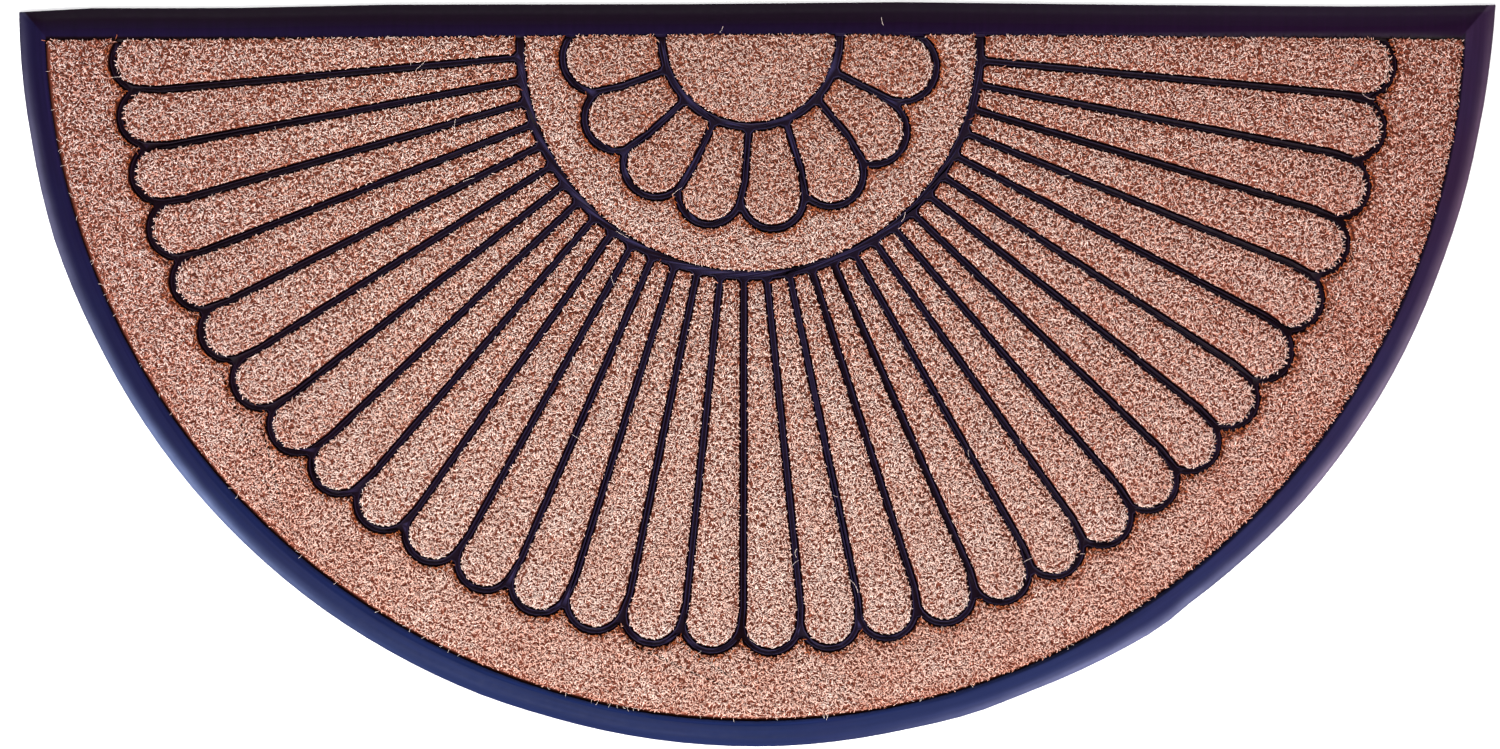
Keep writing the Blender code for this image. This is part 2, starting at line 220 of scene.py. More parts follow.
# Loose pale fibres lying over ribs and border: where each starts, which way it runs (degrees from
# +X), its length, and how far it bends (degrees)
STRAY_WIDTH = 0.00034
STRAY_HEIGHT = 0.0140
STRAY_SINK = 0.0012
STRAY_PIECES = 6
STRAY_OVERLAP = 0.15
STRAY_TONE = 0.94
STRAYS = (
    Stray(-0.053, -0.232, 28.0, 0.008, 20.0),
    Stray(0.004, -0.200, 112.0, 0.010, 25.0),
    Stray(-0.001, -0.222, 150.0, 0.006, -10.0),
    Stray(0.057, -0.285, 78.0, 0.011, 25.0),
    Stray(-0.537, 0.244, 8.0, 0.013, -15.0),
    Stray(0.499, 0.232, -30.0, 0.012, 60.0),
    Stray(0.104, 0.288, 105.0, 0.007, -25.0),
    Stray(-0.031, 0.282, 60.0, 0.006, 30.0),
    Stray(-0.154, 0.182, 5.0, 0.015, 8.0),
    Stray(-0.056, 0.172, 95.0, 0.008, -35.0),
    Stray(-0.070, 0.148, 40.0, 0.010, -20.0),
    Stray(-0.243, 0.159, 20.0, 0.010, -12.0),
    Stray(0.083, -0.180, 118.0, 0.013, 50.0),
    Stray(0.106, -0.250, 62.0, 0.006, 10.0),
)

# More of them by chance over the fan, and short hairs round the coir's outer edge: how many, where
# they start (degrees round, metres from the hub, or metres inside the border), length and spreads
RANDOM_STRAYS = 46
RANDOM_BEARINGS = (2.0, 178.0)
RANDOM_REACH = (0.09, 0.54)
RANDOM_LENGTH = (0.004, 0.012)
RANDOM_BEND = 35.0
EDGE_HAIRS = 90
HAIR_BEARINGS = (4.0, 176.0)
HAIR_INSET = 0.0025
HAIR_LENGTH = (0.002, 0.0045)
HAIR_TURN = 45.0
HAIR_BEND = 40.0

# Coir colours from dark brown to cream, the rust near the ribs, and the painted shade between the
# roots, which turns redder towards them. A point's rise takes it out of that painted shade. The grain
# moves the tone along each bristle.
COIR_STOPS = (
    Stop(0.00, (0.095, 0.014, 0.005, 1.0)),
    Stop(0.18, (0.300, 0.066, 0.030, 1.0)),
    Stop(0.40, (0.590, 0.253, 0.172, 1.0)),
    Stop(0.62, (0.706, 0.463, 0.381, 1.0)),
    Stop(0.82, (0.785, 0.605, 0.530, 1.0)),
    Stop(1.00, (0.820, 0.715, 0.660, 1.0)),
)
COIR_GRAIN = Clouds(1100.0, 2.0, 0.7, 0.3, 0.7, -0.24, 0.24)
COIR_ROUGHNESS = 0.85
COIR_SPECULAR = 0.25
LIT_RISE = (-0.5, 0.5)
RUST = (0.350, 0.080, 0.016, 1.0)
ROOT_SHADE_REDDENING = 0.5
ROOT_SHADE = (0.055, 0.006, 0.002, 1.0)
# The coir is darker and redder towards both ends, most at the right one, the darkening a painted
# shade where the light falls off: each tint, and the X where it starts and where it is full
END_SHADE_TINTS = (
    ((0.97, 0.860, 0.845, 1.0), (0.06, 0.50)),
    ((0.95, 0.90, 0.92, 1.0), (-0.30, -0.55)),
)

# Rubber on the ribs, and on the webs between them at the sides and in front: those change over
# this distance from the middle of the mat (sides, front). The webs' navy, bluest in front, is
# painted sheen.
RIB_RUBBER = (0.0032, 0.0007, 0.0016, 1.0)
SIDE_WEB_SHEEN = (0.0130, 0.0070, 0.0190, 1.0)
FRONT_WEB_SHEEN = (0.0250, 0.0210, 0.0600, 1.0)
WEB_PLACE = (0.45, 0.10)

# Rubber of the round border: its left and right ends change into each other over this width, and
# both into the front's colours from the first Y to the second. The front's own change runs over X.
# The rubber is near black: the blue at the left, the plum at the right and the navy in front are
# painted reflections of the coloured lamps.
LEFT_SHEEN_RUBBER = (0.0047, 0.0029, 0.0160, 1.0)
RIGHT_SHEEN_RUBBER = (0.0150, 0.0062, 0.0215, 1.0)
SIDE_WIDTH = 0.8
FRONT_SHEEN_RUBBER = (0.0040, 0.0080, 0.0370, 1.0)
FRONT_RIGHT_SHEEN_RUBBER = (0.0080, 0.0118, 0.0450, 1.0)
FRONT_PLACE = (0.17, -0.26)
FRONT_RIGHT_PLACE = (0.02, 0.25)
BORDER_CLOUDS = Clouds(11.0, 3.0, 0.6, 0.3, 0.7, -0.12, 0.12)

# Rubber of the straight border: near black, its inner strip, this wide, turns navy as painted sheen,
# both change into one plum over this X on the right, a painted reflection like the round border's
# right end, and the mitred corners have this slope and softness. The round border's inner edge has a
# softness of its own.
BACK_RUBBER = (0.0034, 0.0004, 0.0042, 1.0)
BACK_INNER_SHEEN_RUBBER = (0.0052, 0.0026, 0.0150, 1.0)
BACK_RIGHT_SHEEN_RUBBER = (0.0062, 0.0014, 0.0088, 1.0)
BACK_INNER_REACH = 0.014
BACK_RIGHT_PLACE = (0.05, 0.45)
MITRE_SLOPE = 1.14
MITRE_WIDTH = 0.002
BORDER_EDGE_WIDTH = 0.001

# The border beside the coir is paler than the rest from the left end to the middle, as painted light
# against the pile's shade, and dark at the right, as a painted shadow of the pile: how far out that
# goes (none, full), the two tones, and the X over which they change
BESIDE_REACH = (0.0044, 0.0028)
BESIDE_LIGHT_AND_SHADE = (1.35, 0.25)
BESIDE_PLACE = (0.05, 0.25)

# Faint lines that run along the border: how often they change along it and across it, per metre
LINES_ALONG = 9.0
LINES_ACROSS = 260.0
LINES = Clouds(1.0, 3.0, 0.6, 0.25, 0.75, 0.84, 1.16)

# The rubber's gloss, and its fine bumps
RUBBER_ROUGHNESS = Clouds(160.0, 4.0, 0.6, 0.25, 0.75, 0.40, 0.52)
RUBBER_SPECULAR = 0.03
BUMP_GRAIN = (420.0, 3.0, 0.6)
BUMP_STRENGTH = 0.20
BUMP_DEPTH = 0.0004

# Painted highlights on the outer slope, paler stretches where the low side lamps would glance off it:
# each one's colour, middle (degrees clockwise from +X), spread and strength, and the heights above
# which there are none and below which they are full
SLOPE_HIGHLIGHTS = (
    SlopeHighlight((0.085, 0.050, 0.085, 1.0), 14.0, 13.0, 0.75),
    SlopeHighlight((0.135, 0.105, 0.155, 1.0), 35.0, 11.0, 0.90),
    SlopeHighlight((0.080, 0.085, 0.155, 1.0), 59.0, 15.0, 0.90),
    SlopeHighlight((0.055, 0.052, 0.090, 1.0), 165.0, 13.0, 0.85),
    SlopeHighlight((0.068, 0.087, 0.165, 1.0), 141.0, 14.0, 0.90),
)
HIGHLIGHT_HEIGHTS = (0.0088, 0.0042)
HIGHLIGHT_POWER = 1.5
HIGHLIGHT_CLOUDS = Clouds(38.0, 3.0, 0.6, 0.3, 0.7, 0.75, 1.15)

LAMPS = (
    Lamp("front_key", (-1.2, -3.7, 3.2), (0.0, -0.05, 0.0), 3.4, 2.0, 620.0, (1.0, 0.97, 0.94)),
    Lamp("left_low", (-2.6, -1.8, 1.2), (-0.4, -0.1, 0.0), 1.5, 0.7, 40.0, (0.80, 0.88, 1.0)),
    Lamp("right_low", (2.5, -2.0, 1.2), (0.4, -0.1, 0.0), 1.5, 0.7, 30.0, (0.96, 0.86, 0.96)),
    Lamp("back_fill", (0.0, 3.0, 1.6), (0.0, 0.2, 0.0), 3.0, 1.0, 115.0, (1.0, 1.0, 1.0)),
)
# The sky goes from the one to the other up to this height (1 is straight up)
HORIZON = (1.00, 1.00, 1.00, 1.0)
ZENITH = (0.45, 0.45, 0.46, 1.0)
ZENITH_HEIGHT = 0.8
FLOOR_COLOUR = (0.93, 0.93, 0.93, 1.0)
FLOOR_ROUGHNESS = 0.9
FLOOR_SPECULAR = 0.1
FLOOR_HALF = 9.0


def node_of(tree, kind, **inputs):
    """Adds a shader node and sets its inputs by name."""
    node = tree.nodes.new(kind)
    for name, value in inputs.items():
        node.inputs[name].default_value = value
    return node


def new_material(name):
    """A material with its node tree and its shader."""
    material = bpy.data.materials.new(name)
    material.use_nodes = True
    tree = material.node_tree
    return material, tree, tree.nodes["Principled BSDF"]


def ramp_of(tree, stops):
    node = tree.nodes.new("ShaderNodeValToRGB")
    elements = node.color_ramp.elements
    elements[0].position, elements[0].color = stops[0].place, stops[0].colour
    elements[1].position, elements[1].color = stops[-1].place, stops[-1].colour
    for stop in stops[1:-1]:
        element = elements.new(stop.place)
        element.color = stop.colour
    return node


def maths(tree, operation, first, second=None, third=None, clamp=False):
    """A maths node whose inputs are sockets or plain numbers."""
    node = tree.nodes.new("ShaderNodeMath")
    node.operation = operation
    node.use_clamp = clamp
    for index, value in enumerate((first, second, third)):
        if value is None:
            continue
        if isinstance(value, bpy.types.NodeSocket):
            tree.links.new(value, node.inputs[index])
        else:
            node.inputs[index].default_value = value
    return node.outputs[0]


def mixed(tree, share, first, second, blend="MIX"):
    """Mixes two colours, each a socket or a plain colour, through the node's colour sockets."""
    node = tree.nodes.new("ShaderNodeMix")
    node.data_type = "RGBA"
    node.blend_type = blend
    for index, value in ((0, share), (6, first), (7, second)):
        if isinstance(value, bpy.types.NodeSocket):
            tree.links.new(value, node.inputs[index])
        else:
            node.inputs[index].default_value = value
    return node.outputs[2]


def tinted(tree, colour, tint):
    return mixed(tree, 1.0, colour, tint, "MULTIPLY")


def squared(tree, value):
    return maths(tree, "MULTIPLY", value, value)


def grey_of(tree, value):
    """A grey colour from one value."""
    node = tree.nodes.new("ShaderNodeCombineColor")
    for channel in node.inputs:
        tree.links.new(value, channel)
    return node.outputs["Color"]


def attribute(tree, name):
    node = tree.nodes.new("ShaderNodeAttribute")
    node.attribute_name = name
    return node.outputs["Fac"]


def noise(tree, vector, scale, detail, roughness):
    node = node_of(tree, "ShaderNodeTexNoise", Scale=scale, Detail=detail, Roughness=roughness)
    tree.links.new(vector, node.inputs["Vector"])
    return node.outputs["Fac"]


def clouded(tree, vector, clouds):
    """Noise stretched between two levels and turned into values from least to most."""
    raw = noise(tree, vector, clouds.scale, clouds.detail, clouds.rough)
    return remapped(tree, raw, clouds.low, clouds.high, clouds.least, clouds.most)


def split_place(tree):
    """A point's place on the mat, whole and as its X, Y and Z."""
    place = tree.nodes.new("ShaderNodeTexCoord").outputs["Object"]
    split = tree.nodes.new("ShaderNodeSeparateXYZ")
    tree.links.new(place, split.inputs[0])
    return place, *split.outputs


def remapped(tree, value, low, high, to_low=0.0, to_high=1.0):
    node = node_of(tree, "ShaderNodeMapRange")
    for name, number in (
        ("From Min", low),
        ("From Max", high),
        ("To Min", to_low),
        ("To Max", to_high),
    ):
        node.inputs[name].default_value = number
    tree.links.new(value, node.inputs["Value"])
    return node.outputs["Result"]


def coir_material():
    """Bristle coir: each bristle's tone comes from its attribute, darker and redder towards the root in
    painted shade.
    """
    material, tree, shader = new_material("coir")
    place, x, _, _ = split_place(tree)
    tone = maths(tree, "ADD", attribute(tree, "tone"), clouded(tree, place, COIR_GRAIN), clamp=True)
    ramp = ramp_of(tree, COIR_STOPS)
    tree.links.new(tone, ramp.inputs["Fac"])
    shade = remapped(tree, attribute(tree, "rise"), *LIT_RISE)
    low = maths(tree, "SUBTRACT", 1.0, shade)
    rust = maths(tree, "MULTIPLY_ADD", low, ROOT_SHADE_REDDENING, attribute(tree, "rust"), clamp=True)
    rusted = mixed(tree, rust, ramp.outputs["Color"], RUST)
    base = mixed(tree, shade, ROOT_SHADE, rusted)
    # Painted shade towards both ends, with redder tints
    for tint, tint_place in END_SHADE_TINTS:
        base = mixed(tree, remapped(tree, x, *tint_place), base, tinted(tree, base, tint))
    tree.links.new(base, shader.inputs["Base Color"])
    shader.inputs["Roughness"].default_value = COIR_ROUGHNESS
    shader.inputs["Specular IOR Level"].default_value = COIR_SPECULAR
    return material


def over(tree, value, level, width):
    """Goes from 0 to 1 as a value passes a level, over a soft width."""
    return remapped(tree, value, level - width / 2.0, level + width / 2.0)


def highlighted(tree, base, bearing, strength_here):
    """Lays the painted highlights over a colour, each strongest at its own bearing."""
    for highlight in SLOPE_HIGHLIGHTS:
        away = maths(tree, "DIVIDE", maths(tree, "SUBTRACT", bearing, highlight.middle), highlight.spread)
        hill = maths(tree, "EXPONENT", maths(tree, "MULTIPLY", squared(tree, away), -1.0))
        strength = maths(tree, "MULTIPLY", hill, highlight.strength)
        share = maths(tree, "MULTIPLY", strength, strength_here, clamp=True)
        base = mixed(tree, share, base, highlight.colour)
    return base


def round_border_sheen_colour(tree, place, x, y):
    """Plum to navy round the curve, bluest in front: painted reflections of the coloured lamps."""
    side = mixed(tree, over(tree, x, 0.0, SIDE_WIDTH), LEFT_SHEEN_RUBBER, RIGHT_SHEEN_RUBBER)
    front = mixed(tree, remapped(tree, x, *FRONT_RIGHT_PLACE), FRONT_SHEEN_RUBBER, FRONT_RIGHT_SHEEN_RUBBER)
    cloud = clouded(tree, place, BORDER_CLOUDS)
    forward = maths(tree, "ADD", remapped(tree, y, *FRONT_PLACE), cloud, clamp=True)
    return mixed(tree, forward, side, front)


def back_border_colour(tree, x, y):
    """Near black along the straight edge, and navy towards the coir as painted sheen on the flat strip.
    """
    inner = remapped(tree, y, BACK_INSIDE + BACK_INNER_REACH, BACK_INSIDE)
    back = mixed(tree, inner, BACK_RUBBER, BACK_INNER_SHEEN_RUBBER)
    return mixed(tree, remapped(tree, x, *BACK_RIGHT_PLACE), back, BACK_RIGHT_SHEEN_RUBBER)


def rib_colour(tree, x):
    """Plum black, with a painted navy highlight along the ridges and painted navy sheen where ribs meet.
    """
    middle = remapped(tree, maths(tree, "ABSOLUTE", x), *WEB_PLACE)
    return mixed(tree, attribute(tree, "navy"), RIB_RUBBER, mixed(tree, middle, SIDE_WEB_SHEEN, FRONT_WEB_SHEEN))


def rubber_material():
    """Moulded rubber: near-black plum ribs with navy webs, and a border that turns navy to the front,
    all that navy painted sheen.
    """
    material, tree, shader = new_material("rubber")
    place, x, y, z = split_place(tree)
    east = maths(tree, "SUBTRACT", x, BORDER_CENTRE.x)
    north = maths(tree, "SUBTRACT", y, BORDER_CENTRE.y)
    radius = maths(tree, "SQRT", maths(tree, "ADD", squared(tree, east), squared(tree, north)))

    past = maths(tree, "SUBTRACT", maths(tree, "ABSOLUTE", east), BORDER_INSIDE)
    mitre = maths(tree, "MULTIPLY", maths(tree, "MAXIMUM", past, 0.0), MITRE_SLOPE)
    behind = over(tree, maths(tree, "SUBTRACT", y, mitre), BACK_INSIDE, MITRE_WIDTH)
    in_front = maths(tree, "SUBTRACT", 1.0, behind)
    outside = maths(tree, "MAXIMUM", behind, over(tree, radius, BORDER_INSIDE, BORDER_EDGE_WIDTH))
    rounded = round_border_sheen_colour(tree, place, x, y)
    border = mixed(tree, behind, rounded, back_border_colour(tree, x, y))
    base = mixed(tree, outside, rib_colour(tree, x), border)

    # Painted highlights on the outer slope, in front only
    low_slope = maths(tree, "POWER", remapped(tree, z, *HIGHLIGHT_HEIGHTS), HIGHLIGHT_POWER)
    highlight_share = maths(tree, "MULTIPLY", low_slope, clouded(tree, place, HIGHLIGHT_CLOUDS))
    highlight_share = maths(tree, "MULTIPLY", highlight_share, in_front)
    bearing = maths(tree, "DEGREES", maths(tree, "ARCTAN2", maths(tree, "MULTIPLY", north, -1.0), east))
    base = highlighted(tree, base, bearing, highlight_share)

    # Painted light beside the coir at the left and middle, and a painted shadow of the pile at the right
    none, full = (BORDER_INSIDE + reach for reach in BESIDE_REACH)
    on_round = maths(tree, "MULTIPLY", outside, in_front)
    beside_light_and_shade = maths(tree, "MULTIPLY", remapped(tree, radius, none, full), on_round)
    tone = remapped(tree, x, *BESIDE_PLACE, *BESIDE_LIGHT_AND_SHADE)
    base = mixed(tree, beside_light_and_shade, base, tinted(tree, base, grey_of(tree, tone)))

    lines = tree.nodes.new("ShaderNodeCombineXYZ")
    along = maths(tree, "MULTIPLY", maths(tree, "ARCTAN2", north, east), BORDER_INSIDE)
    tree.links.new(maths(tree, "MULTIPLY", along, LINES_ALONG), lines.inputs["X"])
    tree.links.new(maths(tree, "MULTIPLY", radius, LINES_ACROSS), lines.inputs["Y"])
    line = clouded(tree, lines.outputs["Vector"], LINES)
    tree.links.new(tinted(tree, base, grey_of(tree, line)), shader.inputs["Base Color"])

    tree.links.new(clouded(tree, place, RUBBER_ROUGHNESS), shader.inputs["Roughness"])
    bump = node_of(tree, "ShaderNodeBump", Strength=BUMP_STRENGTH, Distance=BUMP_DEPTH)
    tree.links.new(noise(tree, place, *BUMP_GRAIN), bump.inputs["Height"])
    tree.links.new(bump.outputs["Normal"], shader.inputs["Normal"])
    shader.inputs["Specular IOR Level"].default_value = RUBBER_SPECULAR
    return material


def cad_shape(name):
    """A CAD node's mesh as a bmesh with its corners joined up again."""
    shape = bmesh.new()
    shape.from_mesh(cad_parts[name].data)
    bmesh.ops.remove_doubles(shape, verts=shape.verts[:], dist=WELD_DISTANCE)
    return shape


def finished_piece(name, shape, material, slot, *nodes):
    """Turns a bmesh into a piece that rides on the mat and stands for CAD nodes."""
    mesh = bpy.data.meshes.new(name)
    shape.to_mesh(mesh)
    shape.free()
    mesh.materials.append(material)
    return placed_piece(name, mesh, slot, *nodes)


def placed_piece(name, mesh, slot, *nodes):
    piece = bpy.data.objects.new(name, mesh)
    bpy.context.scene.collection.objects.link(piece)
    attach(piece, BODY)
    if nodes:
        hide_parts(*nodes)
    return piece


def at_level(vert, height):
    return abs(vert.co.z - height) < LEVEL_MATCH


def faces_at(shape, height):
    """The faces that lie flat at this height and look up."""
    shape.normal_update()
    return [
        face
        for face in shape.faces
        if face.normal.z > FLAT and all(at_level(vert, height) for vert in face.verts)
    ]


def slopes_up(face):
    return UPRIGHT < face.normal.z < FLAT


def row_edges(shape, heights):
    """Edges that run round the border's slope at these heights."""
    rows = []
    for edge in shape.edges:
        level = any(all(at_level(vert, height) for vert in edge.verts) for height in heights)
        if level and any(slopes_up(face) for face in edge.link_faces):
            rows.append(edge)
    return rows


def round_border(shape):
    """Rounds the creases of the border's slope, and makes the slope a little uneven."""
    shape.normal_update()
    inner = [edge for edge in shape.edges if all(slopes_up(face) for face in edge.link_faces)]
    bmesh.ops.dissolve_limit(shape, angle_limit=math.radians(SLIVER_DEGREES), verts=[], edges=inner)
    shape.normal_update()
    rows = row_edges(shape, (LIP_TOP, SLOPE_CREASE, BORDER_TOP))
    bmesh.ops.subdivide_edges(shape, edges=rows, cuts=EDGE_CUTS, use_grid_fill=True)
    shape.normal_update()
    for height, reach in (
        (SLOPE_CREASE, CREASE_ROUNDING),
        (BORDER_TOP, CREASE_ROUNDING),
        (LIP_TOP, LIP_ROUNDING),
    ):
        bmesh.ops.bevel(
            shape,
            geom=row_edges(shape, (height,)),
            offset=reach,
            offset_type="OFFSET",
            segments=ROUNDING_SEGMENTS,
            profile=0.5,
            affect="EDGES",
            clamp_overlap=True,
        )
    for vert in shape.verts:
        if LIP_TOP - LIP_ROUNDING - LEVEL_MATCH < vert.co.z < BORDER_TOP - LEVEL_MATCH:
            on_round = (vert.co.xy - BORDER_CENTRE).length > BORDER_INSIDE
            if on_round or vert.co.y > BACK_INSIDE + WAVE_BACK_MARGIN:
                for length, depth in WAVES:
                    vert.co.z += depth * (smooth_noise.noise(vert.co / length) - WAVE_SINK)


def wide_faces(shape, faces):
    """The faces whose middles lie far from every upright wall, where ribs meet."""
    shape.verts.index_update()
    points = [vert.co.copy() for vert in shape.verts]
    upright = (face for face in shape.faces if abs(face.normal.z) < UPRIGHT)
    walls = [[vert.index for vert in face.verts] for face in upright]
    tree = BVHTree.FromPolygons(points, walls)
    return [face for face in faces if tree.find_nearest(face.calc_center_median())[3] > WEB_REACH]


def round_ribs(shape):
    """Gives every rib two rounded ridges with a shallow channel between, with painted navy highlights on
    the ridges and painted navy sheen on the webs.
    """
    navy = shape.verts.layers.float.new("navy")
    tops = faces_at(shape, RIB_TOP)
    webs = wide_faces(shape, tops)
    for vert in {vert for face in tops for vert in face.verts}:
        vert.co.z = RIB_EDGE_HEIGHT
    height = RIB_EDGE_HEIGHT
    for step in RIB_STEPS:
        bmesh.ops.inset_region(
            shape,
            faces=tops,
            thickness=step.inward,
            depth=step.height - height,
            use_even_offset=False,
            use_boundary=True,
        )
        height = step.height
    for vert in shape.verts:
        for step in RIB_STEPS:
            if at_level(vert, step.height):
                vert[navy] = step.navy
    for vert in bmesh.ops.poke(shape, faces=webs)["verts"]:
        vert[navy] = 1.0


def build_rubber(material):
    shape = cad_shape("rubber_tray")
    round_ribs(shape)
    round_border(shape)
    piece = finished_piece("rubber_moulding", shape, material, "rubber", "rubber_tray")
    piece.data.shade_smooth()
    piece.data.set_sharp_from_angle(angle=math.radians(SHARP_DEGREES))


def wall_and_top(name):
    """Trees for finding the side wall nearest to a point, and whether a point is on the panel."""
    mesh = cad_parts[name].data
    points = [vert.co.copy() for vert in mesh.vertices]
    walls, tops = [], []
    for face in mesh.polygons:
        if face.normal.z > FLAT:
            tops.append(tuple(face.vertices))
        elif abs(face.normal.z) < UPRIGHT:
            walls.append(tuple(face.vertices))
    return BVHTree.FromPolygons(points, walls), BVHTree.FromPolygons(points, tops)


def roots_of(name, rng):
    """Bristle roots on one panel, in an uneven hexagonal grid, with the way to the nearest wall.

    Each row holds x, y, the wall's outward direction (x, y) and its distance.
    """
    walls, tops = wall_and_top(name)
    low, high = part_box(name)
    pitch = math.sqrt(2.0 / math.sqrt(3.0) / BRISTLES_PER_M2)
    rows = np.arange(low.y, high.y, pitch * math.sqrt(3.0) / 2.0)
    found = []
    for number, y in enumerate(rows):
        xs = np.arange(low.x + (number % 2) * pitch / 2.0, high.x, pitch)
        jitter = rng.uniform(-ROOT_JITTER, ROOT_JITTER, (len(xs), 2)) * pitch
        for x, (move_x, move_y) in zip(xs, jitter):
            point = Vector((x + move_x, y + move_y, RAY_START))
            if tops.ray_cast(point, DOWN)[0] is None:
                continue
            point.z = WALL_PROBE
            _, out, _, distance = walls.find_nearest(point)
            found.append((point.x, point.y, out.x, out.y, distance))
    return np.array(found)


def wall_kinds(name, x, y, out_x, out_y):
    """The kind of wall that each bristle of a panel stands nearest to."""
    from_hub = np.stack([x - HUB.x, y - HUB.y], 1)
    from_hub /= np.linalg.norm(from_hub, axis=1, keepdims=True)
    outward = from_hub[:, 0] * out_x + from_hub[:, 1] * out_y
    if name.startswith(("coir_ray", "coir_petal")):
        kinds = np.where(outward < HEEL_FACING, "heel", "side")
        kinds = np.where(outward > TIP_FACING, "tip", kinds)
    elif name == "coir_centre":
        kinds = np.full(len(x), "ring")
    else:
        outer = "border" if name == "coir_outer" else "ring"
        kinds = np.where(outward > OUTER_FACING, outer, "scallop")
    return np.where((out_y > BACK_FACING) & (y > BACK_INSIDE - BACK_STRIP), "back", kinds)


def patchy(x, y, pitch, table):
    """Reads a table of random numbers as a smooth surface over the mat."""
    u, v = x / pitch + PATCH_START, y / pitch + PATCH_START
    column, row = np.floor(u).astype(int), np.floor(v).astype(int)
    s, t = u - column, v - row
    s, t = s * s * (3.0 - 2.0 * s), t * t * (3.0 - 2.0 * t)
    size = len(table)
    corner = [[table[(row + j) % size, (column + i) % size] for i in (0, 1)] for j in (0, 1)]
    near_row = corner[0][0] * (1.0 - s) + corner[0][1] * s
    far_row = corner[1][0] * (1.0 - s) + corner[1][1] * s
    return near_row * (1.0 - t) + far_row * t


def fibres(root, tip, width, rng, tone, rust, rise):
    """Slim four-sided slivers from root to tip, as points, triangles and point values.

    The rise is the one at the root end, and it is 1 at the tip.
    """
    count = len(root)
    axis = tip - root
    axis /= np.linalg.norm(axis, axis=1, keepdims=True)
    side = np.cross(axis, rng.normal(size=(count, 3)))
    side /= np.linalg.norm(side, axis=1, keepdims=True)
    other = np.cross(axis, side)
    corners = np.stack(
        [
            root + other * width * 0.5,
            root - other * width * 0.5,
            tip + side * width * TIP_WIDTH_SHARE,
            tip - side * width * TIP_WIDTH_SHARE,
        ],
        1,
    )
    faces = np.array([[2, 1, 0], [3, 0, 1], [3, 1, 2], [3, 2, 0]])
    volume = np.einsum(
        "ij,ij->i",
        corners[:, 1] - corners[:, 0],
        np.cross(corners[:, 2] - corners[:, 0], corners[:, 3] - corners[:, 0]),
    )
    corners[volume < 0.0] = corners[volume < 0.0][:, [1, 0, 2, 3]]
    index = (np.arange(count)[:, None, None] * 4 + faces[None]).reshape(-1, 3)
    values = {
        "tone": np.repeat(np.clip(tone, 0.0, 1.0), 4),
        "rust": np.repeat(np.clip(rust, 0.0, 1.0), 4),
        "rise": np.tile([rise, rise, 1.0, 1.0], count),
    }
    return corners.reshape(-1, 3), index, values


def edge_shifts(x, kinds):
    """How much farther out the pile reaches at each bristle than at the middle of the mat."""
    found = np.zeros(len(x))
    for kind in LEFT_SHIFT:
        shift = np.where(x < 0.0, -x * LEFT_SHIFT[kind], x * RIGHT_SHIFT[kind])
        found += np.where(kinds == kind, shift, 0.0)
    return found


